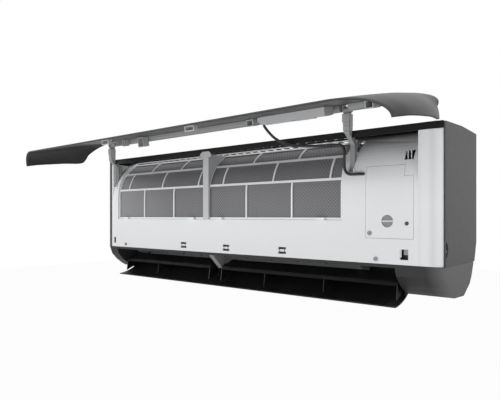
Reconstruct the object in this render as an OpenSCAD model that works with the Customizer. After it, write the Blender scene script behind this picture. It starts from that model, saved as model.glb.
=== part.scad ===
/* [Body] */
// Width across the two side panels
body_w = 940; // [880:10:1020]
// Depth from the wall to the front casing
body_d = 176; // [172:1:186]
// Rise of the body above the wall plate's centre
body_rise = 160; // [158:1:170]
// Drop of the body below the wall plate's centre
body_drop = 143; // [141:1:150]
// Wall of the moulded covers
wall = 3; // [2:0.5:3.5]
// Depth of the side panels along the width
side_t = 8; // [7:0.5:10]
// Open joint between the front casing and a side panel
side_gap = 3; // [1:0.5:4]

/* [Front casing] */
// Lower edge of the white casing, below the origin
casing_drop = 85; // [82:1:88]
// Height at which the front starts to curve back
curve_z = 50; // [45:1:55]
// Radius of the curved front
curve_r = 110; // [106:1:114]
// Height of the dark strip along the front's top
strip_h = 12; // [10:1:14]
// Left end of the filter opening
open_left = -430; // [-435:1:-425]
// Right end of the filter opening
open_right = 280; // [275:1:284]
// Lower edge of the filter opening, below the origin
open_drop = 8; // [4:1:14]
// Middle of the divider between the filters
divider_x = -83; // [-95:1:-70]
// Width of the divider
divider_w = 18; // [14:1:22]
// Inner edge of the right end column
column_x = 427; // [420:1:432]

/* [Front panel] */
// Height of the closed panel
panel_h = 246; // [236:1:250]
// Width across the wings
panel_w = 998; // [990:1:1006]
// Thickness of the panel's skin
panel_t = 3; // [2:0.5:4]
// Width over which each wing curves back
wing_run = 70; // [66:1:74]
// Greatest depth from which the wings' rows take their shares
wing_deep = 64; // [56:1:70]
// Swing from open to closed, in degrees
panel_swing = 78; // [70:1:80]
// Lift of the panel from closed to open
panel_lift = 50; // [46:1:52]
// Place of the right arm along the width
arm_right_x = 297; // [294:1:300]
// Place of the left arm along the width
arm_left_x = -448; // [-450:1:-446]
// Thickness of an arm
arm_t = 9; // [7:0.5:10]

/* [Fan and coil] */
// Radius of the crossflow fan
fan_r = 46; // [42:1:48]
// Number of fan blades
fan_blades = 30; // [24:1:36]
// Radius of the fan's shaft
shaft_r = 4; // [3.5:0.5:5]
// Running clearance of a shaft in its bore
run_fit = 0.05; // [0.02:0.01:0.08]
// Thickness of a coil bank
bank_t = 24; // [18:1:26]

/* [Outlet] */
// Left end of the outlet
outlet_left = -438; // [-442:1:-434]
// Right end of the outlet
outlet_right = 384; // [378:1:388]
// Length of the flap's blade, front to back
flap_len = 71; // [66:1:72]
// Closing swing of the flap, in degrees
flap_swing = 60; // [50:1:62]
// Radius of the flap's pins
flap_pin_r = 3; // [2.5:0.25:3.5]
// Number of vanes in a group
vane_count = 5; // [4:1:5]

/* [Mounting] */
// Hole spacing of the wall plate along the width
plate_span_x = 450; // [400:10:500]
// Hole spacing of the wall plate in height
plate_span_z = 100; // [80:5:120]
// Radius of the wall plate's holes
plate_hole_r = 3; // [2.5:0.25:4]
// Radius of the liquid pipe
liquid_r = 3.175; // [3:0.1:3.5]
// Radius of the gas pipe
gas_r = 4.76; // [4.5:0.1:6.5]

/* [Hidden] */
$fn = 64;

// Overrun of every cut, and the gap between neighbours that only rest together
over = 1;
seat = 0.3;

// Ends of the casing and of the side panels
half_w = body_w / 2;
casing_half = half_w - side_t - side_gap;
front_y = -body_d;
top_drop = 2;
crown_share = 0.52;
strip_low = body_rise - 2 * seat - strip_h - top_drop;
cover_low = body_rise - 2 * wall;
column_round = 20;

// Side outline: y behind the front as a share of the depth, z as a share of the drop
low_shares = [[1, 0.34], [0.95, 0.53], [0.9, 0.61], [0.83, 0.78], [0.77, 0.87],
    [0.58, 1], [0.3, 0.992], [0.23, 0.945], [0.135, 0.86], [0.045, 0.745], [0, 0.594]];
low_points = [for (s = low_shares) [front_y + s[0] * body_d, -s[1] * body_drop]];
top_points = [[front_y, body_rise - top_drop], [front_y + crown_share * body_d, body_rise],
    [0, body_rise - 2 * top_drop]];
side_points = concat(top_points, low_points);
seam_z = -casing_drop - seat;
mouth_z = seam_z - 2 * wall;
mouth_deep = 84;

// Centre of the fan and of the flap's pins, in (y, z)
fan_deep = 112;
fan_drop = 25;
fan_yz = [front_y + fan_deep, -fan_drop];
flap_deep = 62;
flap_drop = 122;
flap_yz = [front_y + flap_deep, -flap_drop];

// A place on the flap's pins at x
module at_flap(x) { translate([x, flap_yz[0], flap_yz[1]]) rotate([90, 0, 90]) children(); }

// Where the panel turns on its arms, open, and where its top edge lies from there
pivot_out = 8;
pivot_rise = 196;
pivot_yz = [front_y - pivot_out, pivot_rise];
pivot_in = 13;
pivot_down = 12;
arm_pin_r = 3;

// A profile drawn in (y, z), swept along the width from x0 to x1
module across(x0, x1) {
    translate([x0, 0, 0]) rotate([90, 0, 90]) linear_extrude(x1 - x0) children();
}

// Points drawn in towards a centre so that the outline moves in by about a wall
function drawn_in(points, middle, shares) =
    [for (p = points) [middle[0] + (p[0] - middle[0]) * shares[0],
                       middle[1] + (p[1] - middle[1]) * shares[1]]];

// The curved front: flat up to curve_z, then an arc towards the top
module curved_sheet(outer, inner, z_low, z_high) {
    arc_low = max(z_low, curve_z);
    if (z_low < curve_z)
        translate([front_y + outer, z_low]) square([inner - outer, curve_z - z_low]);
    intersection() {
        translate([front_y + curve_r, curve_z]) difference() {
            circle(curve_r - outer, $fn = 128);
            circle(curve_r - inner, $fn = 128);
        }
        translate([front_y, arc_low]) square([curve_r, z_high - arc_low]);
    }
}

// The filled space between the front plane and the curved sheet
module recess_fill(z_low, z_high) {
    difference() {
        translate([front_y, z_low]) square([curve_r * 0.55, z_high - z_low]);
        translate([front_y + wall, z_low - over]) square([curve_r, curve_z - z_low + over]);
        translate([front_y + curve_r, curve_z]) circle(curve_r - wall, $fn = 128);
    }
}

// A block given by its low corner and its high corner
module block(low, high) {
    translate(low) cube(high - low);
}

// Front casing
arm_kink_z = [134, 154];
slot_low = arm_kink_z[0] - panel_lift - 2;
slot_gap = 0.5;
guide_wall = 2;
guide_deep = 26;
guide_low = 15;
cheek_x = arm_left_x - arm_t / 2 - slot_gap;
sheet_top = cover_low - seat;
cover_x = [column_x - 98, column_x - 8];
cover_z = [-40, 90];
cover_notch = [17, 20];
hatch_fit = 0.4;
catch_places = [[-160, -71], [-18, -72], [140, -71]];
catch_size = [20, 14];
latch_places = [[-445, -67, 9, 16], [402, -67, 15, 18], [406, 107, 17, 17]];
screw_places = [[-394, -77], [349, -77], [337, -31]];
screw_hole_r = 2.2;
knob_x = 371;
knob_z = -9;
knob_r = 11;
button_x = 407;
button_z = -13;
button_r = 3.4;
lead_r = 2.5;
lead_hole = [323, 77];

module round_hole(x, z, r) {
    translate([x, front_y - over, z]) rotate([-90, 0, 0]) cylinder(r = r, h = 3 * wall + 2 * over);
}

module arm_slot(x) {
    block([x - arm_t / 2 - slot_gap, front_y - over, slot_low],
          [x + arm_t / 2 + slot_gap, front_y + curve_r / 2, strip_low + over]);
}

// Channel behind the slot, in which the arm's tail slides
module arm_guide(x) {
    difference() {
        block([x - arm_t / 2 - slot_gap - guide_wall, front_y + wall - seat, guide_low],
              [x + arm_t / 2 + slot_gap + guide_wall, front_y + guide_deep, slot_low + 2 * wall]);
        block([x - arm_t / 2 - slot_gap, front_y + wall, guide_low - over],
              [x + arm_t / 2 + slot_gap, front_y + guide_deep - guide_wall, slot_low + 3 * wall]);
    }
}

module column_plan() {
    translate([column_x, front_y]) square([casing_half - column_round - column_x, wall]);
    intersection() {
        translate([casing_half - column_round, front_y + column_round]) difference() {
            circle(column_round);
            circle(column_round - wall);
        }
        translate([casing_half - column_round, front_y]) square(column_round);
    }
    translate([casing_half - wall, front_y + column_round]) square([wall, column_round]);
}

module front_casing() {
    color("gainsboro") difference() {
        union() {
            across(-casing_half, column_x + wall) curved_sheet(0, wall, -casing_drop, sheet_top);
            across(-casing_half, cheek_x) recess_fill(curve_z, strip_low);
            across(column_x, column_x + wall) recess_fill(curve_z, strip_low);
            translate([0, 0, -casing_drop]) linear_extrude(strip_low + casing_drop) column_plan();
            across(-casing_half, -casing_half + wall)
                translate([front_y, -casing_drop]) square([2 * column_round, curve_z + casing_drop]);
            arm_guide(arm_right_x);
            arm_guide(arm_left_x);
        }
        block([open_left, front_y - over, -open_drop], [open_right, front_y + curve_r, sheet_top - wall]);
        arm_slot(arm_right_x);
        arm_slot(arm_left_x);
        block([cover_x[0], front_y - over, cover_z[0]],
              [cover_x[1], front_y + 2 * column_round, cover_z[1] - cover_notch[1]]);
        block([cover_x[0], front_y - over, cover_z[0]],
              [cover_x[1] - cover_notch[0], front_y + 2 * column_round, cover_z[1]]);
        for (p = catch_places) {
            block([p[0] - catch_size[0] / 2, front_y - over, p[1] - catch_size[1] / 2],
                  [p[0] + catch_size[0] / 2, front_y + wall + over, p[1] - catch_size[1] / 6]);
            block([p[0] - catch_size[0] / 2, front_y - over, p[1] + catch_size[1] / 6],
                  [p[0] + catch_size[0] / 2, front_y + wall + over, p[1] + catch_size[1] / 2]);
        }
        for (p = latch_places)
            block([p[0] - p[2] / 2, front_y - over, p[1] - p[3] / 2],
                  [p[0] + p[2] / 2, front_y + 2 * column_round, p[1] + p[3] / 2]);
        for (i = [0, 1]) round_hole(screw_places[i][0], screw_places[i][1], screw_hole_r);
        round_hole(lead_hole[0], lead_hole[1], lead_r + seat);
    }
}

// Cover over the top with its dark front strip and its intake slots
grille_pitch = 24;
grille_bar = 5;
grille_shares = [0.16, 0.49, 0.55, 0.9];
module top_cover() {
    cover_points = concat(top_points, [[0, body_rise - 2 * top_drop - wall],
        [front_y + crown_share * body_d, body_rise - wall], [front_y + wall, body_rise - top_drop - wall],
        [front_y + wall, strip_low + seat], [front_y, strip_low + seat]]);
    grille_count = floor((casing_half + open_right) / grille_pitch) - 1;
    color("black") difference() {
        across(-casing_half, casing_half) polygon(cover_points);
        for (i = [0 : grille_count - 1])
            for (k = [0, 2])
                block([-casing_half + (i + 1) * grille_pitch, front_y + grille_shares[k] * body_d,
                       cover_low - over],
                      [-casing_half + (i + 2) * grille_pitch - grille_bar,
                       front_y + grille_shares[k + 1] * body_d, body_rise + over]);
        for (x = [arm_left_x, arm_right_x])
            block([x - arm_t / 2 - slot_gap, front_y - over, strip_low],
                  [x + arm_t / 2 + slot_gap, front_y + wall + over, body_rise + over]);
    }
}

// Side panels: an outer skin with a rim turned inwards
seam_rear_share = 0.07;
function above_seam(points) = concat([for (p = points) if (p[1] > seam_z + wall) p],
    [[-seam_rear_share * body_d, seam_z + seat], [front_y, seam_z + seat]]);
panel_points = above_seam(side_points);
notch_z = -57;
notch_r = 15;
notch_deep = 10;

module side_panel() {
    difference() {
        across(half_w - side_t, half_w) polygon(panel_points);
        block([half_w - side_t - over, front_y + wall, seam_z + seat + wall],
              [half_w - wall, -seam_rear_share * body_d - wall, body_rise - 2 * top_drop - wall]);
    }
}

module right_side_panel() {
    color("dimgray") difference() {
        side_panel();
        translate([half_w - side_t - over, front_y + notch_deep - notch_r, notch_z]) rotate([0, 90, 0])
            cylinder(r = notch_r, h = side_t + 2 * over);
    }
}

module left_side_panel() {
    color("dimgray") mirror([1, 0, 0]) side_panel();
}

// Lower casing round the outlet, open at its top
low_rear_share = 0.11;
low_outline = concat([[front_y, seam_z]], [for (i = [len(low_points) - 2 : -1 : 2]) low_points[i]],
    [[-low_rear_share * body_d, seam_z]]);
low_middle = [front_y / 2, seam_z];
low_inner = drawn_in(low_outline, low_middle,
    [1 - 2 * wall / body_d, 1 - wall / (body_drop + seam_z)]);
knock_deep = 132;
knock_drop = 107;
knock_yz = [front_y + knock_deep, -knock_drop];
knock_r = 14;

module lower_casing() {
    color([0.22, 0.22, 0.23]) difference() {
        across(-half_w, half_w) polygon(low_outline);
        difference() {
            across(-half_w + wall, half_w - wall) translate([0, seat]) polygon(low_inner);
            across(outlet_right, outlet_right + wall) polygon(low_outline);
            across(outlet_left - wall, outlet_left) polygon(low_outline);
        }
        block([outlet_left, front_y - over, -body_drop - over], [outlet_right, front_y + mouth_deep, mouth_z]);
        translate([half_w - wall - over, knock_yz[0], knock_yz[1]]) rotate([0, 90, 0])
            cylinder(r = knock_r + seat, h = wall + 2 * over);
        for (x = [outlet_left - wall, outlet_right])
            at_flap(x - over) cylinder(r = flap_pin_r + run_fit, h = wall + 2 * over);
    }
}

module knockout_cover() {
    color([0.22, 0.22, 0.23]) translate([half_w - wall, knock_yz[0], knock_yz[1]]) rotate([0, 90, 0]) {
        difference() {
            cylinder(r = knock_r, h = wall);
            translate([0, 0, -over]) cylinder(r = knock_r - wall, h = over + wall / 2);
        }
    }
}

// Fin between the two filters, from the front plane back to the arc, with its broad head
head_z = 138;
head_share = 0.6;
module middle_divider() {
    color("lightgray") {
        across(divider_x - divider_w / 2, divider_x + divider_w / 2)
            recess_fill(-open_drop + seat, strip_low - seat);
        translate([divider_x, front_y, 0]) rotate([90, 0, 0]) linear_extrude(seat * 4)
            polygon([[-divider_w, head_z], [divider_w, head_z], [divider_w, strip_low],
                     [divider_w * head_share, strip_low + strip_h / 2],
                     [-divider_w * head_share, strip_low + strip_h / 2],
                     [-divider_w, strip_low]]);
    }
}

// Air filters: a curved frame with thin ribs, sliding behind the casing and the divider
filter_t = 2.4;
filter_lap = 4;
rib_w = 3.5;
bar_z = [71, 116];
bar_w = 5;
filter_foot = 6;
filter_top = 148;
filter_xs = [[open_left - filter_lap, divider_x - seat], [divider_x + seat, open_right + filter_lap]];
low_rib_shares = [0.333, 0.667];
mid_rib_shares = [0.135, 0.53, 0.91];
tab_shares = [0.12, 0.86];

function cells(x0, x1, shares) = concat([x0 + 2 * filter_lap], [for (s = shares) x0 + s * (x1 - x0)],
    [x1 - 2 * filter_lap]);

module filter_windows(x0, x1, shares, z0, z1) {
    edges = cells(x0, x1, shares);
    for (i = [0 : len(edges) - 2])
        block([edges[i] + (i == 0 ? 0 : rib_w / 2), front_y, z0],
              [edges[i + 1] - (i == len(edges) - 2 ? 0 : rib_w / 2), front_y + curve_r, z1]);
}

module filter_frame(x0, x1) {
    frame_low = -open_drop - filter_foot;
    difference() {
        across(x0, x1) curved_sheet(wall + seat, wall + seat + filter_t, frame_low, filter_top);
        filter_windows(x0, x1, low_rib_shares, -open_drop + bar_w, bar_z[0] - bar_w / 2);
        filter_windows(x0, x1, mid_rib_shares, bar_z[0] + bar_w / 2, bar_z[1] - bar_w / 2);
        filter_windows(x0, x1, low_rib_shares, bar_z[1] + bar_w / 2, filter_top - bar_w);
    }
    for (s = tab_shares)
        block([x0 + s * (x1 - x0) - 2 * bar_w, front_y - filter_t, -open_drop + seat],
              [x0 + s * (x1 - x0) + 2 * bar_w, front_y + wall + filter_t, -open_drop + bar_w]);
}

module filter_left() { color("white") filter_frame(filter_xs[0][0], filter_xs[0][1]); }
module filter_right() { color("white") filter_frame(filter_xs[1][0], filter_xs[1][1]); }

mesh_t = 0.6;
module filter_mesh(x0, x1) {
    mesh_out = wall + filter_t + 2 * seat;
    across(x0 + filter_lap, x1 - filter_lap)
        curved_sheet(mesh_out, mesh_out + mesh_t, -open_drop, filter_top - bar_w / 2);
}
module filter_mesh_left() { color("gray") filter_mesh(filter_xs[0][0], filter_xs[0][1]); }
module filter_mesh_right() { color("gray") filter_mesh(filter_xs[1][0], filter_xs[1][1]); }

// Holders of the deodorising filters, clipped behind the upper rows
holder_t = 6;
holder_shares = [0.291, 0.818];
holder_z = [for (s = holder_shares) curve_z + s * curve_r];
holder_ends = [60, 90];
holder_slats = 9;
module deodoriser(x0, x1) {
    holder_out = wall + filter_t + mesh_t + 3 * seat;
    pitch = (x1 - x0) / holder_slats;
    difference() {
        across(x0, x1) curved_sheet(holder_out, holder_out + holder_t, holder_z[0], holder_z[1]);
        for (i = [0 : holder_slats - 1])
            block([x0 + i * pitch + wall / 2, front_y - over, holder_z[0] + bar_w],
                  [x0 + (i + 1) * pitch - wall / 2, front_y + curve_r, holder_z[1] - bar_w]);
    }
}
module deodoriser_left() {
    color("silver") deodoriser(filter_xs[0][0] + holder_ends[0], filter_xs[0][1] - holder_ends[1]);
}
module deodoriser_right() {
    color("silver") deodoriser(filter_xs[1][0] + holder_ends[0], filter_xs[1][1] - holder_ends[1]);
}

// Heat exchanger: three banks round the fan, each placed by its low front corner in (y, z)
coil_left = open_left + 10;
coil_right = open_right - 18;
bank_tilt = 35.5;
row_shares = [0.27, 0.73];
coil_plate_t = 1.5;
tube_r = 3.5;
tube_pitch = 21;
bank_low = [front_y + 26, -54, 0, 86];
bank_top = [front_y + 30, 52, 38, 86];
bank_back = [front_y + 166, 70, 144.5, 78];

// Moves to a bank's own frame: its length runs up, its thickness towards the fan
module on_bank(bank) {
    translate([bank[0], bank[1]]) rotate(bank == bank_back ? bank_tilt : -bank[2]) children();
}
function bank_side(bank) = bank == bank_back ? -bank_t : 0;
module bank_profile(bank) {
    on_bank(bank) translate([bank_side(bank), 0]) square([bank_t, bank[3]]);
}
function tube_rows(bank) = floor((bank[3] - tube_pitch / 2) / tube_pitch) + 1;
module bank_tubes(bank, r) {
    first = (bank[3] - (tube_rows(bank) - 1) * tube_pitch) / 2;
    on_bank(bank) for (i = [0 : tube_rows(bank) - 1])
        for (k = row_shares)
            translate([bank_side(bank) + k * bank_t, first + i * tube_pitch]) circle(r, $fn = 24);
}
module bank_block(bank) {
    fin_groove = 2;
    fin_count = 32;
    fin_pitch = (coil_right - coil_left) / fin_count;
    color("silver") difference() {
        across(coil_left + coil_plate_t, coil_right - coil_plate_t) difference() {
            bank_profile(bank);
            bank_tubes(bank, tube_r);
        }
        for (i = [1 : fin_count - 1])
            across(coil_left + i * fin_pitch - fin_groove / 2, coil_left + i * fin_pitch + fin_groove / 2)
                on_bank(bank) translate([bank == bank_back ? -fin_groove : -over, -over])
                    square([fin_groove + over, bank[3] + 2 * over]);
    }
}
module coil_front_lower() { bank_block(bank_low); }
module coil_front_upper() { bank_block(bank_top); }
module coil_rear() { bank_block(bank_back); }

// Webs of the end plates between one bank and the next, from a bank's corner in shares of its thickness
low_web_shares = [[-0.125, -0.917], [0.792, -0.917], [0.75, -0.583], [0.042, 0.021]];
top_web_shares = [[-3.333, 1.917], [-2.75, 1.542], [-2.583, 1.958], [-2, 2.5], [-2.583, 2.5]];
plate_webs = [[bank_top, low_web_shares], [bank_back, top_web_shares]];
module coil_end_plates() {
    color("lightsteelblue") for (x = [coil_left, coil_right - coil_plate_t])
        across(x, x + coil_plate_t) difference() {
            union() {
                for (bank = [bank_low, bank_top, bank_back]) bank_profile(bank);
                for (web = plate_webs)
                    polygon([for (s = web[1]) [web[0][0] + s[0] * bank_t, web[0][1] + s[1] * bank_t]]);
            }
            for (bank = [bank_low, bank_top, bank_back]) bank_tubes(bank, tube_r);
        }
}

tube_out = 4;
tube_wall = 0.7;
module coil_tubes() {
    color("peru") for (bank = [bank_low, bank_top, bank_back]) {
        rows = tube_rows(bank);
        first = (bank[3] - (rows - 1) * tube_pitch) / 2;
        across(coil_left - tube_out, coil_right + tube_out) difference() {
            bank_tubes(bank, tube_r - run_fit);
            bank_tubes(bank, tube_r - tube_wall);
        }
        for (k = row_shares, i = [0 : 2 : rows - 2], side = [0, 1])
            if (i + 1 + side < rows)
                translate([side == 0 ? coil_left - tube_out : coil_right + tube_out, 0, 0])
                    rotate([90, 0, 90])
                        on_bank(bank)
                            translate([bank_side(bank) + k * bank_t, first + (i + side + 0.5) * tube_pitch])
                                rotate([side == 0 ? -90 : 90, 0, 90])
                                    rotate_extrude(angle = 180, $fn = 24)
                                        translate([tube_pitch / 2, 0]) difference() {
                                            circle(tube_r - run_fit, $fn = 24);
                                            circle(tube_r - tube_wall, $fn = 24);
                                        }
    }
}

// Drain pan under the front bank, with ribs that carry the bank
pan_y = front_y + 16;
pan_long = 44;
pan_top_z = -48;
pan_high = 33;
pan_shares = [[0, 0], [0, 0.788], [0.182, 1], [0.909, 0.545], [1, 0.121], [0.932, 0.121], [0.841, 0.455],
    [0.182, 0.879], [0.068, 0.727], [0.068, 0]];
pan_points = [for (s = pan_shares) [pan_y + s[0] * pan_long, pan_top_z - s[1] * pan_high]];
pan_low_z = pan_top_z - pan_high;
pan_left = outlet_left + 2 * wall;
pan_right = coil_right + 4 * wall;
pan_end_t = 2;
pan_notch = 10;
module drain_pan() {
    color("white") {
        across(pan_left, pan_right) polygon(pan_points);
        for (x = [coil_left, divider_x, coil_right - 2 * wall])
            across(x, x + 2 * wall) difference() {
                translate([pan_y + wall - over, pan_low_z + over])
                    square([pan_long - 2 * wall, bank_low[1] - seat - pan_low_z - over]);
                polygon([[pan_y, pan_low_z], [pan_y, pan_low_z - over], [pan_points[3][0], pan_low_z - over],
                         pan_points[3], pan_points[2]]);
                translate([pan_y + pan_long - 2 * wall, bank_low[1] - pan_notch])
                    square([wall, pan_notch + over]);
            }
        for (x = [pan_left, pan_right - pan_end_t])
            across(x, x + pan_end_t) polygon([for (i = [1 : 5]) pan_points[i]]);
        for (x = concat(vane_xs_left, vane_xs_right))
            translate([x, vane_pin_y, vane_top_z + seat]) difference() {
                cylinder(r = vane_boss_r, h = vane_pin_h);
                translate([0, 0, -over]) cylinder(r = vane_pin_r + run_fit, h = vane_pin_h);
            }
    }
}

// Crossflow fan: curved blades held by rings, with a shaft stub at each end
fan_left = -408;
fan_right = 256;
fan_rings = 6;
ring_t = 2.5;
blade_t = 1.2;
blade_in_share = 0.76;
ring_share = 0.72;
blade_steps = 4;
shaft_left = -434;
motor_x = [284, 340];
motor_r = 36;
motor_boss = 4;
shaft_reach = 20;

// A blade's centre line leans forward as it runs outwards
blade_out_share = 0.985;
blade_lean = [-6, 22];
function blade_line(u) = [fan_r * (blade_in_share + (blade_out_share - blade_in_share) * u),
                          blade_lean[0] * u + blade_lean[1] * u * u];
function blade_point(u, side) =
    let (c = blade_line(u)) [c[0] * cos(c[1] + side * 90 * blade_t / (PI * fan_r)),
                             c[0] * sin(c[1] + side * 90 * blade_t / (PI * fan_r))];
blade_outline = concat([for (i = [0 : blade_steps]) blade_point(i / blade_steps, -1)],
    [for (i = [blade_steps : -1 : 0]) blade_point(i / blade_steps, 1)]);

module at_fan(x) { translate([x, fan_yz[0], fan_yz[1]]) rotate([90, 0, 90]) children(); }

module fan_rotor() {
    pitch = (fan_right - fan_left - ring_t) / fan_rings;
    color("darkslategray") {
        at_fan(fan_left) linear_extrude(fan_right - fan_left)
            for (i = [0 : fan_blades - 1]) rotate(i * 360 / fan_blades) polygon(blade_outline);
        for (i = [0 : fan_rings])
            at_fan(fan_left + i * pitch) linear_extrude(ring_t) difference() {
                circle(fan_r);
                if (i > 0 && i < fan_rings) circle(fan_r * ring_share);
            }
        at_fan(shaft_left) cylinder(r = shaft_r, h = fan_left - shaft_left + ring_t);
        at_fan(fan_right - ring_t) cylinder(r = shaft_r, h = motor_x[0] + shaft_reach - fan_right + ring_t);
    }
}

module fan_motor() {
    color("silver") at_fan(motor_x[0]) difference() {
        union() {
            cylinder(r = motor_r, h = motor_x[1] - motor_x[0]);
            translate([0, 0, -motor_boss]) cylinder(r = 3 * shaft_r, h = motor_boss + over);
        }
        translate([0, 0, -motor_boss - over])
            cylinder(r = shaft_r + run_fit, h = motor_boss + shaft_reach + 3 * over);
    }
}

bearing_r = 10;
bearing_t = 12;
bearing_floor = 2;
module fan_bearing() {
    color("black") at_fan(shaft_left - bearing_floor) difference() {
        cylinder(r = bearing_r, h = bearing_t);
        translate([0, 0, bearing_floor - seat]) cylinder(r = shaft_r + run_fit, h = bearing_t);
    }
}

// Rear chassis: back wall, scroll behind the fan, end walls and the motor's cradle
chassis_half = casing_half - wall;
back_y = -6;
scroll_r = fan_r + 8;
eye_share = 0.7;
scroll_reach = 2 * scroll_r;
scroll_slope_share = 1.725;
scroll_foot_shares = [[0.5, -0.861], [0.556, -0.907], [-0.111, -2.037], [-0.185, -2.037]];
end_shares = [[-0.963, -1.093], [-0.963, 0.833], [1, 0.833], [1, -0.648], [0.519, -0.981], [0.222, -1.463],
    [-0.296, -1.611], [-0.778, -1.389]];
end_rear = back_y - wall + seat - fan_yz[0];
end_points = [for (s = end_shares)
    [fan_yz[0] + (s[0] == 1 ? end_rear : s[0] * scroll_r), fan_yz[1] + s[1] * scroll_r]];
back_low = -68;
back_top = body_rise - 8;
shelf_z = 52.7;
chassis_ends = [outlet_left + wall, coil_right + 14];
motor_inset = 10;
module rear_chassis() {
    color("gray") difference() {
        union() {
            across(-chassis_half, chassis_half)
                translate([back_y - wall, back_low]) square([wall, back_top - back_low]);
            across(chassis_ends[0], chassis_ends[1]) {
                intersection() {
                    translate(fan_yz) difference() { circle(scroll_r + wall); circle(scroll_r); }
                    translate(fan_yz)
                        polygon([[0, 0], [scroll_reach, 0],
                                 [scroll_reach, -scroll_slope_share * scroll_reach]]);
                }
                translate(fan_yz) polygon(scroll_foot_shares * scroll_r);
                translate([bank_back[0] - bank_t + over, shelf_z])
                    square([back_y - wall + seat - bank_back[0] + bank_t - over, wall]);
            }
            across(box_x[0] + wall, motor_x[1] - motor_inset)
                translate([box_y[1] + seat, fan_yz[1] - motor_r - wall])
                    square([fan_yz[0] - motor_r - box_y[1], motor_r / 2]);
            for (x = chassis_ends)
                across(x, x + wall) polygon(end_points);
            across(motor_x[0] + motor_inset, motor_x[1] - motor_inset)
                translate([fan_yz[0] - motor_r, fan_yz[1] - motor_r - wall])
                    square([back_y - fan_yz[0] + motor_r - wall + seat, motor_r]);
        }
        at_fan(shaft_left - bearing_r) cylinder(r = bearing_r + run_fit, h = 2 * bearing_r);
        at_fan(fan_right) cylinder(r = fan_r * eye_share, h = motor_x[0] - fan_right);
        at_fan(motor_x[0] - over) cylinder(r = motor_r + seat, h = motor_x[1] - motor_x[0] + 2 * over);
    }
}

// Wall plate of pressed sheet steel, with hooks for the chassis
plate_t = 1.5;
plate_size = [560, 150];
hook_w = 30;
hook_h = 12;
window_shares = [0.08, 0.3, 0.2];
module wall_plate() {
    color("silver") difference() {
        union() {
            block([-plate_size[0] / 2, -plate_t, -plate_size[1] / 2],
                  [plate_size[0] / 2, 0, plate_size[1] / 2]);
            for (x = [-plate_size[0] / 2 + hook_w, 0, plate_size[0] / 2 - 2 * hook_w])
                block([x, back_y + seat, plate_size[1] / 2 - hook_h], [x + hook_w, 0, plate_size[1] / 2]);
        }
        for (x = [-1, 1], z = [-1, 1])
            translate([x * plate_span_x / 2, over, z * plate_span_z / 2]) rotate([90, 0, 0])
                cylinder(r = plate_hole_r, h = plate_t + 2 * over);
        for (s = [-window_shares[1], window_shares[0]])
            block([plate_size[0] * s, -plate_t - over, -plate_size[1] * window_shares[2]],
                  [plate_size[0] * (s + window_shares[1] - window_shares[0]), over,
                   plate_size[1] * window_shares[2]]);
    }
}

// Electrical box behind the service cover, with its board and terminal block
box_x = [312, 424];
box_y = [front_y + 12, front_y + 60];
box_z = [-56, 60];
box_wall = 2;
module electrical_box() {
    color("lightgray") difference() {
        block([box_x[0], box_y[0], box_z[0]], [box_x[1], box_y[1], box_z[1]]);
        block([box_x[0] + box_wall, box_y[0] - over, box_z[0] + box_wall],
              [box_x[1] - box_wall, box_y[1] - box_wall, box_z[1] - box_wall]);
        at_fan(box_x[0] - over) cylinder(r = motor_r + 2 * wall, h = box_x[1] - box_x[0] + 2 * over);
    }
}

board_t = 1.6;
board_in = 12;
board_up = 40;
chip_t = 6;
can_t = 8;
chip_shares = [[0.161, 0.569, 0.125], [0.429, 0.69, 0.089], [0.732, 0.586, 0.143]];
can_shares = [[0.295, 0.793, 0.0625], [0.5625, 0.862, 0.0446]];
module circuit_board() {
    y = box_y[0] + board_in;
    w = box_x[1] - box_x[0];
    h = box_z[1] - box_z[0];
    color("seagreen") {
        block([box_x[0] + box_wall + seat, y, box_z[0] + box_wall + seat + board_up],
              [box_x[1] - box_wall - seat, y + board_t, box_z[1] - box_wall - seat]);
        for (s = chip_shares)
            translate([box_x[0] + s[0] * w, y - chip_t, box_z[0] + s[1] * h])
                cube([s[2] * w, chip_t, s[2] * w]);
        for (s = can_shares)
            translate([box_x[0] + s[0] * w, y, box_z[0] + s[1] * h]) rotate([90, 0, 0])
                cylinder(r = s[2] * w, h = can_t);
    }
}

terminals = 5;
terminal_pitch = 16;
terminal_w = 12;
terminal_wall = 4;
terminal_h = 18;
terminal_deep = [4, 12, 26];
terminal_x = box_x[0] + 14;
terminal_screw_r = 3.5;
module terminal_block() {
    low_z = box_z[0] + box_wall;
    color("black") {
        difference() {
            block([terminal_x, box_y[0] + terminal_deep[0], low_z],
                  [terminal_x + terminal_wall + terminals * terminal_pitch, box_y[0] + terminal_deep[2],
                   low_z + terminal_h]);
            for (i = [0 : terminals - 1])
                translate([terminal_x + terminal_wall + i * terminal_pitch, 0, low_z + terminal_wall])
                    block([0, box_y[0] + terminal_deep[0] - over, 0],
                          [terminal_w, box_y[0] + terminal_deep[1], terminal_h - terminal_wall + over]);
        }
        for (i = [0 : terminals - 1])
            translate([terminal_x + terminal_wall + terminal_w / 2 + i * terminal_pitch,
                       box_y[0] + terminal_deep[1], low_z + (terminal_h + terminal_wall) / 2])
                rotate([90, 0, 0]) cylinder(r = terminal_screw_r, h = wall);
    }
}

// Service cover with its lock knob and push button
module service_cover() {
    color("whitesmoke") difference() {
        across(cover_x[0] + hatch_fit, cover_x[1] - hatch_fit)
            curved_sheet(0, wall, cover_z[0] + hatch_fit, cover_z[1] - hatch_fit);
        block([cover_x[1] - cover_notch[0] - hatch_fit, front_y - over,
               cover_z[1] - cover_notch[1] - hatch_fit],
              [cover_x[1], front_y + 2 * column_round, cover_z[1]]);
        round_hole(knob_x, knob_z, knob_r + run_fit);
        round_hole(button_x, button_z, button_r + run_fit);
        round_hole(screw_places[2][0], screw_places[2][1], screw_hole_r);
    }
}

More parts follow.
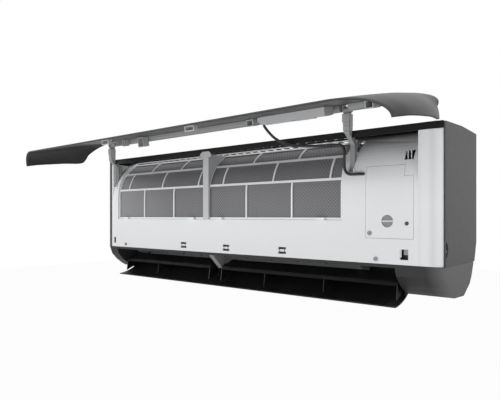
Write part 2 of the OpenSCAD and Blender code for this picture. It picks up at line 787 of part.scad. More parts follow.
knob_t = 4;
grip_half = 1.2;
grip_t = 2;
module lock_knob() {
    color("lightgray") translate([knob_x, front_y + wall + over, knob_z]) rotate([90, 0, 0]) difference() {
        cylinder(r = knob_r, h = knob_t - seat);
        translate([-knob_r - over, grip_half, knob_t - grip_t])
            cube([2 * knob_r + 2 * over, knob_r, grip_t]);
        translate([-knob_r - over, -grip_half - knob_r, knob_t - grip_t])
            cube([2 * knob_r + 2 * over, knob_r, grip_t]);
    }
}

button_proud = 0.8;
module power_button() {
    color("dimgray") translate([button_x, front_y + wall + over, button_z]) rotate([90, 0, 0])
        cylinder(r = button_r, h = wall + over + button_proud);
}

module casing_screws() {
    head_r = 4;
    head_t = 1.6;
    cross_w = 0.8;
    screw_len = 8;
    color("silver") for (p = screw_places)
        translate([p[0], front_y - head_t, p[1]]) rotate([-90, 0, 0]) {
            difference() {
                cylinder(r = head_r, h = head_t);
                for (a = [0, 90]) rotate(a) translate([-head_r / 2, -cross_w / 2, -over])
                    cube([head_r, cross_w, over + cross_w]);
            }
            translate([0, 0, head_t]) cylinder(r = screw_hole_r - run_fit, h = screw_len);
        }
}

// Arms: flat and kinked, with a bored head on the panel's pin and a tail in the guide
arm_head_r = 6;
arm_tail_z = 70;
arm_w = 11;
arm_tail_in = 10;
arm_head_out = 13;
arm_lean = 1;
arm_rise = 4;
arm_front = [[-arm_head_out, pivot_yz[1]], [arm_lean - arm_head_out, arm_kink_z[1]],
    [arm_tail_in, arm_kink_z[0]], [arm_tail_in, arm_tail_z]];
arm_back = [[arm_tail_in + arm_w, arm_tail_z], [arm_tail_in + arm_w, arm_kink_z[0] + arm_rise],
    [arm_lean - arm_head_out + arm_w, arm_kink_z[1] + arm_rise], [arm_w - arm_head_out, pivot_yz[1]]];
arm_groove = 1.2;
arm_groove_end = 5;
module panel_arm(x) {
    points = [for (p = concat(arm_front, arm_back)) [front_y + p[0], p[1]]];
    color("silver") difference() {
        union() {
            across(x - arm_t / 2, x + arm_t / 2) polygon(points);
            translate([x - arm_t / 2, pivot_yz[0], pivot_yz[1]]) rotate([0, 90, 0])
                cylinder(r = arm_head_r, h = arm_t);
        }
        translate([x - arm_t / 2 - over, pivot_yz[0], pivot_yz[1]]) rotate([0, 90, 0])
            cylinder(r = arm_pin_r + run_fit, h = arm_t + 2 * over);
        for (side = [0, 1])
            block([x - arm_t / 2 + side * (arm_t - arm_groove), front_y + arm_tail_in + wall,
                   arm_tail_z + arm_groove_end],
                  [x - arm_t / 2 + side * (arm_t - arm_groove) + arm_groove,
                   front_y + arm_tail_in + arm_w - wall, arm_kink_z[0]]);
    }
}
module arm_left() { panel_arm(arm_left_x); }
module arm_right() { panel_arm(arm_right_x); }

// The panel is drawn closed, about its pin, and turned up to its open place
module on_panel() {
    translate([0, pivot_yz[0], pivot_yz[1]]) rotate([-panel_swing, 0, 0]) children();
}
skin_in = panel_t - pivot_in;
wing_x = panel_w / 2 - wing_run;
wing_steps = 9;
down_shares = [0, 0.06, 0.15, 0.3, 0.6, 0.85, 1];
run_shares = [0.62, 0.83, 0.93, 1, 1, 0.97, 0.87];
deep_shares = [0.26, 0.48, 0.64, 0.75, 0.69, 0.64, 0.62];

function wing_point(side, a, k, inner) =
    let (run = run_shares[k] * wing_run - inner * panel_t, deep = deep_shares[k] * wing_deep - inner * panel_t)
        [side * (wing_x + run * sin(a)), inner * panel_t - pivot_in + deep * (1 - cos(a)),
         pivot_down - down_shares[k] * panel_h];
function skin_row(k, inner) = concat(
    [for (i = [wing_steps : -1 : 0]) wing_point(-1, i * 90 / wing_steps, k, inner)],
    [for (i = [0 : wing_steps]) wing_point(1, i * 90 / wing_steps, k, inner)]);
function flip(row) = [for (i = [len(row) - 1 : -1 : 0]) row[i]];

module front_panel() {
    row = 2 * (wing_steps + 1);
    loop = 2 * row;
    last = (len(down_shares) - 1) * loop;
    points = [for (k = [0 : len(down_shares) - 1]) each concat(skin_row(k, 0), flip(skin_row(k, 1)))];
    sides = [for (k = [0 : len(down_shares) - 2], i = [0 : loop - 1])
        let (a = k * loop + i, b = k * loop + (i + 1) % loop)
            each [[a, b, b + loop], [a, b + loop, a + loop]]];
    ends = [for (i = [0 : row - 2])
        let (a = i, b = i + 1, c = loop - 2 - i, d = loop - 1 - i)
            each [[a, c, b], [a, d, c], [last + a, last + b, last + c], [last + a, last + c, last + d]]];
    color([0.3, 0.3, 0.31]) on_panel() polyhedron(points, concat(sides, ends));
}

// Rail along the panel's upper edge, with the ears and pins that the arms turn on
rail_deep = 13;
rail_round = 9;
rail_down = [6, 28];
ear_t = 3;
function wing_depth(x) = x <= wing_x ? 0 :
    let (run = run_shares[1] * wing_run - panel_t, deep = deep_shares[1] * wing_deep - panel_t)
        deep * (1 - sqrt(1 - pow((x - wing_x) / run, 2))) + seat;
module panel_rail() {
    rail_xs = [[max(arm_left_x + arm_t, -wing_x), arm_right_x - arm_t], [arm_right_x + arm_t, wing_x - wall]];
    color("gray") on_panel() {
        for (r = rail_xs)
            across(r[0], r[1]) difference() {
                union() {
                    translate([skin_in, pivot_down - rail_down[1]])
                        square([rail_deep - rail_round, rail_down[1] - rail_down[0]]);
                    translate([skin_in + rail_deep - rail_round, pivot_down - rail_down[1] + rail_round])
                        circle(rail_round);
                }
                translate([skin_in - 2 * rail_deep, pivot_down - rail_down[1] - over])
                    square([2 * rail_deep, 2 * rail_down[1]]);
            }
        for (x = [arm_left_x, arm_right_x]) {
            for (side = [-1, 1])
                translate([x + side * (arm_t / 2 + seat + ear_t / 2) - ear_t / 2, 0, 0]) rotate([90, 0, 90])
                    linear_extrude(ear_t) union() {
                        ear_x = abs(x + side * (arm_t / 2 + seat + ear_t / 2));
                        ear_from = skin_in + wing_depth(ear_x + ear_t / 2);
                        translate([ear_from, -arm_head_r]) square([-ear_from, 2 * arm_head_r]);
                        circle(arm_head_r);
                    }
            translate([x - arm_t / 2 - seat - ear_t, 0, 0]) rotate([0, 90, 0])
                cylinder(r = arm_pin_r, h = arm_t + 2 * seat + 2 * ear_t);
        }
    }
}

receiver_x = [140, 286];
receiver_down = [46, 76];
receiver_deep = 15;
receiver_dish = 2;
module receiver_box() {
    color("lightgray") on_panel() difference() {
        block([receiver_x[0], skin_in, pivot_down - receiver_down[1]],
              [receiver_x[1], skin_in + receiver_deep, pivot_down - receiver_down[0]]);
        block([receiver_x[0] + 2 * wall, skin_in + receiver_deep - receiver_dish,
               pivot_down - receiver_down[1] + 2 * wall],
              [receiver_x[1] - 8 * wall, skin_in + receiver_deep + over,
               pivot_down - receiver_down[0] - 2 * wall]);
    }
}

// Small clips and tabs moulded on the panel's inner side: middle as a share of the panel's width,
// distance down as a share of its height, then width, height and depth as shares of a clip
clip_size = 16;
clip_wall = 2;
clip_shares = [[-0.386, 0.148, 1, 1, 0.75], [-0.346, 0.163, 0.625, 0.875, 1],
    [-0.276, 0.154, 1.375, 1.125, 1.5], [0.09, 0.163, 1.125, 1, 0.875], [0.1, 0.915, 1.5, 0.625, 0.625], [-0.16, 0.915, 1.5, 0.625, 0.625],
    [0.361, 0.163, 1, 1.5, 0.875]];
clip_places = [for (s = clip_shares)
    [s[0] * panel_w, s[1] * panel_h, s[2] * clip_size, s[3] * clip_size, s[4] * clip_size]];
module panel_clips() {
    color("lightgray") on_panel() for (c = clip_places)
        difference() {
            block([c[0] - c[2] / 2, skin_in, pivot_down - c[1] - c[3] / 2],
                  [c[0] + c[2] / 2, skin_in + c[4], pivot_down - c[1] + c[3] / 2]);
            block([c[0] - c[2] / 2 + clip_wall, skin_in + clip_wall, pivot_down - c[1] - c[3] / 2 - over],
                  [c[0] + c[2] / 2 - clip_wall, skin_in + c[4] - clip_wall,
                   pivot_down - c[1] + c[3] / 2 + over]);
        }
}

// Lead from the receiver box down past the right arm and behind the service cover
lead_points = [[137, -52, 186], [132, -50, 184], [132, -44, 176], [140, -30, 160], [152, -18, 149],
    [170, -11, 142], [190, -8, 139], [224, -6, 136], [256, -5, 135], [276, -4, 134], [285, -4, 130],
    [288, -4, 122], [288, -4, 108], [288, -4, 94], [290, -4, 84], [297, -4, 78], [306, -4, 77],
    [316, -4, 77], [321, -2, 77], [323, 3, 77], [323, 12, 77]];
lead_sides = 8;
function at_front(p) = [p[0], front_y + p[1], p[2]];
function unit(v) = v / norm(v);
function lead_way(i) = unit(at_front(lead_points[min(i + 1, len(lead_points) - 1)])
    - at_front(lead_points[max(i - 1, 0)]));
function lead_side(i) = i == 0 ? unit(cross(lead_way(0), [0.3, 1, 0.2]))
    : let (s = lead_side(i - 1), w = lead_way(i)) unit(s - (s * w) * w);
function lead_ring(i) =
    let (s = lead_side(i), u = cross(lead_way(i), s))
        [for (k = [0 : lead_sides - 1])
            at_front(lead_points[i]) + lead_r * (cos(k * 360 / lead_sides) * s + sin(k * 360 / lead_sides) * u)];
module panel_lead() {
    n = len(lead_points);
    points = [for (i = [0 : n - 1]) each lead_ring(i)];
    walls = [for (i = [0 : n - 2], k = [0 : lead_sides - 1])
        let (a = i * lead_sides + k, b = i * lead_sides + (k + 1) % lead_sides)
            each [[a, b + lead_sides, b], [a, a + lead_sides, b + lead_sides]]];
    caps = [[for (k = [0 : lead_sides - 1]) k],
        [for (k = [lead_sides - 1 : -1 : 0]) (n - 1) * lead_sides + k]];
    color("black") polyhedron(points, concat(walls, caps));
}

// Flap: a bowed blade on end brackets with pins, drawn closed and turned to its open place
flap_t = 2.5;
flap_bow_r = 120;
flap_heel = [-6, -19.5];
flap_angle = 141.5;
flap_gap = 2;
flap_ends = [outlet_left + flap_gap, outlet_right - flap_gap];
flap_mid_x = -86;
flap_foot_share = 0.31;
bracket_t = 14;
bracket_gap = bracket_t / 2 + over;
pin_reach = 12;
flap_ear_t = 3;
flap_tip = flap_heel + flap_len * [cos(flap_angle), sin(flap_angle)];

module flap_turned() { rotate(flap_swing) children(); }

module flap_blade_profile() {
    middle = (flap_heel + flap_tip) / 2;
    outward = [cos(flap_angle + 90), sin(flap_angle + 90)];
    centre = middle - outward * sqrt(flap_bow_r * flap_bow_r - flap_len * flap_len / 4);
    intersection() {
        translate(centre) difference() {
            circle(flap_bow_r, $fn = 128);
            circle(flap_bow_r - flap_t, $fn = 128);
        }
        polygon([centre, centre + 2 * (flap_heel - centre), centre + 2 * (middle - centre),
                 centre + 2 * (flap_tip - centre)]);
    }
}

module flap_bracket_profile() {
    circle(2 * flap_pin_r);
    along = [cos(flap_angle), sin(flap_angle)];
    polygon([[-2 * flap_pin_r, 0], [2 * flap_pin_r, 0], flap_heel + [over, over] / 2,
        flap_heel + along * flap_len * flap_foot_share - [along[1], -along[0]] * (flap_t + over * 3 / 4)]);
}

module lower_flap() {
    color([0.08, 0.08, 0.09]) {
        at_flap(flap_ends[0]) linear_extrude(flap_ends[1] - flap_ends[0]) flap_turned() flap_blade_profile();
        for (x = [flap_ends[0], flap_ends[1] - flap_ear_t, flap_mid_x - bracket_gap - flap_ear_t,
                  flap_mid_x + bracket_gap])
            at_flap(x) linear_extrude(flap_ear_t) flap_turned() flap_bracket_profile();
        at_flap(outlet_left - wall) cylinder(r = flap_pin_r, h = flap_ends[0] - outlet_left + wall + over);
        at_flap(flap_ends[1] - over)
            cylinder(r = flap_pin_r, h = outlet_right + wall + pin_reach - flap_ends[1] + over);
        at_flap(flap_mid_x - bracket_gap - over) cylinder(r = flap_pin_r, h = 2 * bracket_gap + 2 * over);
    }
}

// Trays on the blade: a hood, end walls and thin ribs, drawn in their open place
hood_t = 2;
rib_t = 1.2;
hood_front_shares = [-0.324, 0];
hood_back_shares = [0.141, 0.197];
tray_foot_shares = [[0.141, -0.196], [-0.085, -0.279], [-0.451, -0.434], [-0.408, -0.085]];
hood_front = flap_yz + hood_front_shares * flap_len;
hood_back = flap_yz + hood_back_shares * flap_len;
tray_xs = [[-432, -102], [-64, 376]];
tray_rib_xs = [[-295], [68, 220]];
module tray_wall_profile() {
    polygon(concat([hood_front, hood_back], [for (s = tray_foot_shares) flap_yz + s * flap_len]));
}
module flap_tray(xs, rib_xs) {
    color([0.06, 0.06, 0.07]) {
        across(xs[0], xs[1]) polygon([hood_front, hood_back, hood_back + [0, hood_t],
            hood_front + [-hood_t, hood_t], hood_front - [3, 2] * hood_t, hood_front - [2, 3] * hood_t]);
        for (x = [xs[0], xs[1] - hood_t])
            across(x, x + hood_t) tray_wall_profile();
        for (x = rib_xs)
            across(x - rib_t / 2, x + rib_t / 2) tray_wall_profile();
    }
}
module flap_tray_left() { flap_tray(tray_xs[0], tray_rib_xs[0]); }
module flap_tray_right() { flap_tray(tray_xs[1], tray_rib_xs[1]); }

// Middle bearing bracket of the flap, hung under the drain pan
bracket_long = 50;
bracket_shares = [[-0.75, 0.802], [-0.56, 0.9], [-0.44, 0.64], [0.12, 0.16], [0.16, -0.1], [-0.16, -0.1],
    [-0.8, 0.54]];
module flap_bracket() {
    color("darkgray") difference() {
        across(flap_mid_x - bracket_t / 2, flap_mid_x + bracket_t / 2)
            polygon([for (s = bracket_shares) flap_yz + s * bracket_long]);
        at_flap(flap_mid_x - bracket_t) cylinder(r = flap_pin_r + run_fit, h = 2 * bracket_t);
    }
}

motor_small_r = 13;
motor_small_t = 20;
module flap_motor() {
    color("silver") at_flap(outlet_right + wall + seat) difference() {
        cylinder(r = motor_small_r, h = motor_small_t);
        translate([0, 0, -over]) cylinder(r = flap_pin_r + run_fit, h = pin_reach + 2 * over);
    }
}

// Vanes: plates on upright pins, joined by a tie bar through a notch in their rear edges
vane_t = 1.6;
vane_pin_r = 1.5;
vane_pin_h = 8;
vane_boss_r = 3.5;
vane_y = front_y + 40;
vane_long = 26;
vane_high = 20.5;
vane_shares = [[0, 1], [1, 0.805], [1, 0], [0.231, 0], [0, 0.244]];
vane_pin_y = vane_y + 10;
vane_top_z = -77;
vane_motor_in = 16;
vane_motor_r = 9;
vane_motor_h = 17;
vane_stub_h = 5.8;
tie_pin_r = 1;
tie_notch = 1.4;
tie_yz = [vane_pin_y + 13.5, vane_top_z - 11];
tie_t = 2.4;
tie_w = 4.4;
vane_pitch = [65, 70];
vane_first = [-400, -60];
vane_xs_left = [for (i = [0 : vane_count - 1]) vane_first[0] + i * vane_pitch[0]];
vane_xs_right = [for (i = [0 : vane_count - 1]) vane_first[1] + i * vane_pitch[1]];

module vane(x) {
    color("black") {
        difference() {
            across(x - vane_t / 2, x + vane_t / 2)
                polygon([for (s = vane_shares) [vane_y + s[0] * vane_long, vane_top_z - s[1] * vane_high]]);
            block([x - vane_t, tie_yz[0] - tie_w / 2 - tie_notch, tie_yz[1] - tie_t / 2 - seat],
                  [x + vane_t, tie_yz[0] + tie_w, tie_yz[1] + tie_t / 2 + seat]);
        }
        translate([x, vane_pin_y, vane_top_z - vane_pin_h / 2])
            cylinder(r = vane_pin_r, h = 1.5 * vane_pin_h - over);
        translate([x, tie_yz[0], tie_yz[1] - tie_t - seat]) cylinder(r = tie_pin_r, h = 2 * tie_t + 2 * seat);
    }
}
module vane_left_1() { vane(vane_xs_left[0]); }
module vane_left_2() { vane(vane_xs_left[1]); }
module vane_left_3() { vane(vane_xs_left[2]); }
module vane_left_4() { vane(vane_xs_left[3]); }
module vane_left_5() { vane(vane_xs_left[4]); }
module vane_right_1() { vane(vane_xs_right[0]); }
module vane_right_2() { vane(vane_xs_right[1]); }
module vane_right_3() { vane(vane_xs_right[2]); }
module vane_right_4() { vane(vane_xs_right[3]); }
module vane_right_5() { vane(vane_xs_right[4]); }

module tie_bar(xs) {
    last_x = xs[len(xs) - 1];
    color("dimgray") difference() {
        block([xs[0] - tie_w, tie_yz[0] - tie_w / 2, tie_yz[1] - tie_t / 2],
              [last_x + tie_w, tie_yz[0] + tie_w / 2, tie_yz[1] + tie_t / 2]);
        for (x = xs)
            translate([x, tie_yz[0], tie_yz[1] - tie_t]) cylinder(r = tie_pin_r + run_fit, h = 2 * tie_t);
    }
}
module tie_bar_left() { tie_bar(vane_xs_left); }
module tie_bar_right() { tie_bar(vane_xs_right); }

module vane_motors() {
    color("silver") for (x = [outlet_left + vane_motor_in, coil_right]) {
        translate([x, vane_pin_y, vane_top_z - vane_motor_h]) cylinder(r = vane_motor_r, h = vane_motor_h);
        translate([x, vane_pin_y, vane_top_z]) cylinder(r = vane_boss_r, h = vane_stub_h);
    }
}

// Refrigerant pipes behind the electrical box: runs brazed into the sockets of a bend, ending in flare nuts
function bank_tube_place(bank, k, row) =
    let (u = bank_side(bank) + k * bank_t,
         v = (bank[3] - (tube_rows(bank) - 1) * tube_pitch) / 2 + row * tube_pitch)
        [bank[0] + u * cos(bank_tilt) - v * sin(bank_tilt), bank[1] + u * sin(bank_tilt) + v * cos(bank_tilt)];
liquid_end = bank_tube_place(bank_back, row_shares[1], 0);
gas_end = bank_tube_place(bank_back, row_shares[0], 0);
pipe_xs = [motor_x[1] + 16, motor_x[1] + 42];
pipe_places = [[pipe_xs[0], liquid_end[0], liquid_r, liquid_end[1]],
    [pipe_xs[1], gas_end[0], gas_r, gas_end[1]]];
nut_h = 18;
nut_top_z = -66;
nut_wall = 2;
nut_floor = 4;
pipe_bend = 14;
pipe_socket = 0.8;
module pipe_run(x, y, r, z_high) {
    translate([x, y, nut_top_z]) cylinder(r = r, h = z_high - pipe_bend - nut_top_z + over);
    translate([x - pipe_bend, y, z_high - pipe_bend]) rotate([90, 0, 0])
        rotate_extrude(angle = 90, $fn = 32) translate([pipe_bend, 0]) circle(r + pipe_socket, $fn = 24);
    translate([coil_right + tube_out + seat, y, z_high]) rotate([0, 90, 0])
        cylinder(r = r, h = x - pipe_bend - coil_right - tube_out - seat + over);
}
module refrigerant_pipes() {
    color("peru") for (p = pipe_places) {
        pipe_run(p[0], p[1], p[2], p[3]);
        translate([p[0], p[1], nut_top_z - nut_h]) difference() {
            cylinder(r = 2 * p[2] + nut_wall, h = nut_h, $fn = 6);
            translate([0, 0, -over]) cylinder(r = p[2] + nut_wall / 2, h = nut_h - nut_floor);
        }
    }
}

// Drain spout at the pan's right end
hose_r = 8;
hose_len = 24;
hose_wall = 1.5;
hose_z = -64;
hose_ribs = 4;
hose_rib_pitch = 5.5;
hose_rib = [1.2, 2.5];
module drain_hose() {
    color("white") translate([pan_right + seat, pan_y + pan_long / 2, hose_z]) rotate([0, 90, 0]) difference() {
        union() {
            cylinder(r = hose_r, h = hose_len);
            for (i = [0 : hose_ribs - 1])
                translate([0, 0, pan_end_t + i * hose_rib_pitch]) cylinder(r = hose_r + hose_rib[0], h = hose_rib[1]);
        }
        translate([0, 0, -over]) cylinder(r = hose_r - hose_wall, h = hose_len + 2 * over);
    }
}

wall_plate();
rear_chassis();
front_casing();
top_cover();
left_side_panel();
right_side_panel();
lower_casing();
knockout_cover();
middle_divider();
filter_left();
filter_right();
filter_mesh_left();
filter_mesh_right();
deodoriser_left();
deodoriser_right();
coil_front_lower();
coil_front_upper();
coil_rear();
coil_end_plates();
coil_tubes();
drain_pan();
fan_rotor();
fan_motor();
fan_bearing();
electrical_box();
circuit_board();
terminal_block();
service_cover();
lock_knob();
power_button();
casing_screws();
arm_left();
arm_right();
front_panel();
panel_rail();
receiver_box();
panel_clips();
panel_lead();
lower_flap();
flap_tray_left();
flap_tray_right();
flap_bracket();
flap_motor();
vane_left_1();
vane_left_2();
vane_left_3();
vane_left_4();
vane_left_5();
vane_right_1();
vane_right_2();
vane_right_3();
vane_right_4();
vane_right_5();
tie_bar_left();
tie_bar_right();
vane_motors();
refrigerant_pipes();
drain_hose();
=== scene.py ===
import math
import bmesh
import bpy
from mathutils import Matrix, Vector


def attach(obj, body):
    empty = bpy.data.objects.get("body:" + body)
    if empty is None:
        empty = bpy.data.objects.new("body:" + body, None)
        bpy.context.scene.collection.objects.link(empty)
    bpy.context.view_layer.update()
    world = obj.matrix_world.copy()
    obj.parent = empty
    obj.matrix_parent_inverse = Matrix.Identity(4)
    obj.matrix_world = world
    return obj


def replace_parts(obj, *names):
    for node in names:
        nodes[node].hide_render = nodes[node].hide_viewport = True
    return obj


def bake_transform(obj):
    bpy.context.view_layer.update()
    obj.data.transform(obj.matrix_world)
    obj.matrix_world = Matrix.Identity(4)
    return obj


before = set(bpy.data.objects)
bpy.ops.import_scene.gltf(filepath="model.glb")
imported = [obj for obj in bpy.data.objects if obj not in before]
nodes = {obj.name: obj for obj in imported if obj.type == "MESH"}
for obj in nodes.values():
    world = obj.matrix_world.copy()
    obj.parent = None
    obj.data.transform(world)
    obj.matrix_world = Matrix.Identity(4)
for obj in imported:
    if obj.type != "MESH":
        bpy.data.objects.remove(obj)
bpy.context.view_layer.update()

# Camera: it stands at the height of the unit's middle, to the right of it and close,
# so the picture is a little wide and the frame is shifted up instead of tilted.
eye = Vector((0.7597, -1.0088, 0))
sight = Vector((-0.6468, 0.7627, 0))
lens_data = bpy.data.cameras.new("camera")
lens_data.sensor_width = 36
lens_data.lens = 36.14
lens_data.shift_y = 0.032
camera = bpy.data.objects.new("camera", lens_data)
camera.location = eye
camera.rotation_euler = sight.to_track_quat("-Z", "Y").to_euler()
bpy.context.scene.collection.objects.link(camera)
bpy.context.scene.camera = camera


# Receiver lead: a round black PVC-sheathed cable. It leaves the receiver box on the lifting
# panel, hangs past the right arm and enters the casing through a round hole.
class Wire:
    """A socket of a material: arithmetic on it adds the Math nodes that work it out."""

    def __init__(self, finish, socket):
        self.finish = finish
        self.socket = socket

    def math(self, operation, *values):
        return self.finish.math_of(operation, *values)

    def __add__(self, other):
        return self.math("ADD", self, other)

    def __radd__(self, other):
        return self.math("ADD", other, self)

    def __sub__(self, other):
        return self.math("SUBTRACT", self, other)

    def __rsub__(self, other):
        return self.math("SUBTRACT", other, self)

    def __mul__(self, other):
        return self.math("MULTIPLY", self, other)

    def __rmul__(self, other):
        return self.math("MULTIPLY", other, self)


class Finish:
    """A material made of a Principled shader, with any node added by add()."""

    def __init__(self, name, colour, roughness, metallic=0.0, specular=0.5):
        self.material = bpy.data.materials.new(name)
        self.material.use_nodes = True
        self.tree = self.material.node_tree
        self.shader = self.tree.nodes["Principled BSDF"]
        self.colour = (*colour, 1)
        self.set("Base Color", self.colour)
        self.set("Roughness", roughness)
        self.set("Metallic", metallic)
        self.set("Specular IOR Level", specular)

    def add(self, kind, settings, inputs, output=0):
        node = self.tree.nodes.new(kind)
        for key, value in settings.items():
            setattr(node, key, value)
        for key, value in inputs.items():
            self.join(node.inputs[key], value)
        return Wire(self, node.outputs[output])

    def math_of(self, operation, *values):
        return self.add("ShaderNodeMath", {"operation": operation}, dict(enumerate(values)))

    def join(self, socket, value):
        if isinstance(value, Wire):
            self.tree.links.new(value.socket, socket)
        else:
            socket.default_value = value

    def set(self, name, value):
        self.join(self.shader.inputs[name], value)

    def place(self, scale=(1, 1, 1), turn=(0, 0, 0)):
        """A point on the piece, in metres, scaled and turned for a pattern."""
        point = self.add("ShaderNodeTexCoord", {}, {}, "Object")
        return self.add("ShaderNodeMapping", {}, {"Vector": point, "Scale": scale, "Rotation": turn})

    def axis(self, name, place=None):
        """One coordinate of a point on the piece, in metres."""
        place = place or self.add("ShaderNodeTexCoord", {}, {}, "Object")
        return self.add("ShaderNodeSeparateXYZ", {}, {"Vector": place}, name)

    def noise(self, scale, detail=2.0, place=None):
        place = place or self.place()
        return self.add("ShaderNodeTexNoise", {}, {"Vector": place, "Scale": scale, "Detail": detail})

    def ramp(self, value, low, high):
        """0 where value is low, 1 where it is high, and clamped outside."""
        return self.add("ShaderNodeMapRange", {}, {"Value": value, "From Min": low, "From Max": high})

    def mix(self, share, first, second):
        return self.add("ShaderNodeMix", {"data_type": "RGBA"}, {0: share, 6: first, 7: second}, 2)

    def shade(self, factor):
        """The finish's own colour made darker or lighter by a varying factor."""
        factors = self.add("ShaderNodeCombineXYZ", {}, {0: factor, 1: factor, 2: factor})
        return self.add("ShaderNodeVectorMath", {"operation": "MULTIPLY"}, {0: self.colour[:3], 1: factors})

    def bump(self, height, depth, strength=1.0, below=None):
        inputs = {"Height": height, "Distance": depth, "Strength": strength}
        if below is not None:
            inputs["Normal"] = below
        return self.add("ShaderNodeBump", {}, inputs)

    def soft_edges(self, radius):
        """Normals that turn round an edge over this radius, as a moulding's edges do."""
        return self.add("ShaderNodeBevel", {"samples": 4}, {"Radius": radius})

    def wear(self, *names):
        for name in names:
            slots = nodes[name].data.materials
            slots.clear()
            slots.append(self.material)


grain_scale = 2600
edge_radius = 0.0006


def moulded(name, colour, roughness, grain=0.00004, mottle=0.03, specular=0.5):
    """A moulded plastic: soft edges, a fine spark-eroded grain and a faint cloudiness."""
    finish = Finish(name, colour, roughness, specular=specular)
    cloud = finish.noise(9.0, 3.0)
    finish.set("Base Color", finish.shade((1 - mottle) + 2 * mottle * cloud))
    finish.set("Roughness", (roughness - 0.04) + 0.08 * finish.noise(60.0, 3.0))
    edges = finish.soft_edges(edge_radius)
    finish.set("Normal", finish.bump(finish.noise(grain_scale, 1.0), grain, 0.5, edges))
    return finish


front_mm = -176


def metre_points(points):
    """Places (across, behind the front plane, up) in millimetres, as points of the frame."""
    return [Vector((x, front_mm + y, z)) / 1000 for x, y, z in points]


def tube(name, path, radius, sides=16, steps=6):
    """A round tube along a Catmull-Rom line through the points of its path."""
    line = bpy.data.curves.new(name, "CURVE")
    line.dimensions = "3D"
    line.bevel_depth = radius
    line.bevel_resolution = sides // 4
    line.use_fill_caps = True
    spline = line.splines.new("POLY")
    smooth = []
    for i in range(len(path) - 1):
        a, b = path[max(i - 1, 0)], path[i]
        c, d = path[i + 1], path[min(i + 2, len(path) - 1)]
        for k in range(steps):
            t = k / steps
            smooth.append(0.5 * (2 * b + (c - a) * t + (2 * a - 5 * b + 4 * c - d) * t ** 2
                                 + (3 * b - a - 3 * c + d) * t ** 3))
    smooth.append(path[-1])
    spline.points.add(len(smooth) - 1)
    for point, place in zip(spline.points, smooth):
        point.co = (*place, 1)
    drawn = bpy.data.objects.new(name + "_line", line)
    mesh = bpy.data.meshes.new_from_object(drawn)
    bpy.data.objects.remove(drawn)
    mesh.name = name
    piece = bpy.data.objects.new(name, mesh)
    bpy.context.scene.collection.objects.link(piece)
    for face in mesh.polygons:
        face.use_smooth = True
    return piece, smooth


lead_radius = 0.00275
lead_upper = metre_points([
    (137, -52, 186), (132, -50, 184), (132, -44, 176), (140, -30, 160), (152, -18, 149), (170, -11, 142),
    (190, -8, 139), (224, -6, 136), (256, -5, 135), (276, -4, 134), (285, -4, 130)])
lead_lower = metre_points([
    (285, -4, 130), (288, -4, 122), (288, -4, 108), (288, -4, 94), (290, -4, 84), (297, -4, 78),
    (306, -4, 77), (316, -4, 77), (321, -2, 77), (323, 3, 77), (323, 12, 77)])
sheath = Finish("lead_sheath", (0.012, 0.012, 0.013), 0.42)
sheath.set("Roughness", 0.36 + 0.12 * sheath.noise(140.0, 3.0))
sheath.set("Normal", sheath.bump(sheath.noise(1800.0), 0.00003))


def laid_length(points):
    return sum((b - a).length for a, b in zip(points, points[1:]))


for name, path, carried, carrier in (
        ("lead_upper_run", lead_upper, "panel", "arms"),
        ("lead_lower_run", lead_lower, "arms", "root")):
    lead, centre_line = tube(name, path, lead_radius)
    lead.data.materials.append(sheath.material)
    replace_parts(lead, "panel_lead")
    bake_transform(lead)
    laid_length(centre_line)

# Studio: a plain pale floor below the hanging unit and a white surround. The surround is
# white only to the camera, glass and gloss; what lights the unit is a dimmer world and
# three large soft boxes.
surround = bpy.data.worlds.new("surround")
surround.use_nodes = True
bpy.context.scene.world = surround
world_nodes = surround.node_tree.nodes
world_light = world_nodes["Background"]
world_light.inputs["Color"].default_value = (1, 1, 1, 1)
world_light.inputs["Strength"].default_value = 0.42
world_white = world_nodes.new("ShaderNodeBackground")
world_white.inputs["Color"].default_value = (1, 1, 1, 1)
world_path = world_nodes.new("ShaderNodeLightPath")
world_mix = world_nodes.new("ShaderNodeMixShader")
world_seen = world_path.outputs["Is Camera Ray"]
for ray in ("Is Glossy Ray", "Is Transmission Ray"):
    either = world_nodes.new("ShaderNodeMath")
    either.operation = "MAXIMUM"
    surround.node_tree.links.new(world_seen, either.inputs[0])
    surround.node_tree.links.new(world_path.outputs[ray], either.inputs[1])
    world_seen = either.outputs[0]
surround.node_tree.links.new(world_seen, world_mix.inputs[0])
surround.node_tree.links.new(world_light.outputs[0], world_mix.inputs[1])
surround.node_tree.links.new(world_white.outputs[0], world_mix.inputs[2])
surround.node_tree.links.new(world_mix.outputs[0], world_nodes["World Output"].inputs[0])

floor_mesh = bpy.data.meshes.new("floor")
drawn = bmesh.new()
floor_half, floor_height = 8, -0.9
bmesh.ops.create_grid(drawn, x_segments=1, y_segments=1, size=floor_half)
bmesh.ops.translate(drawn, verts=drawn.verts, vec=(0, 0, floor_height))
drawn.to_mesh(floor_mesh)
drawn.free()
floor = bpy.data.objects.new("floor", floor_mesh)
bpy.context.scene.collection.objects.link(floor)
floor_paint = Finish("floor_paint", (0.86, 0.86, 0.86), 0.9, specular=0.1)
floor_path = floor_paint.add("ShaderNodeLightPath", {}, {}, "Is Camera Ray")
floor_white = floor_paint.add("ShaderNodeEmission", {}, {"Color": (1, 1, 1, 1), "Strength": 1.0})
floor_bleach = 0.96
floor_mixed = floor_paint.add("ShaderNodeMixShader", {}, {0: floor_bleach * floor_path, 2: floor_white})
floor_paint.tree.links.new(floor_paint.shader.outputs[0], floor_mixed.socket.node.inputs[1])
floor_paint.tree.links.new(floor_mixed.socket, floor_paint.tree.nodes["Material Output"].inputs[0])
floor_mesh.materials.append(floor_paint.material)

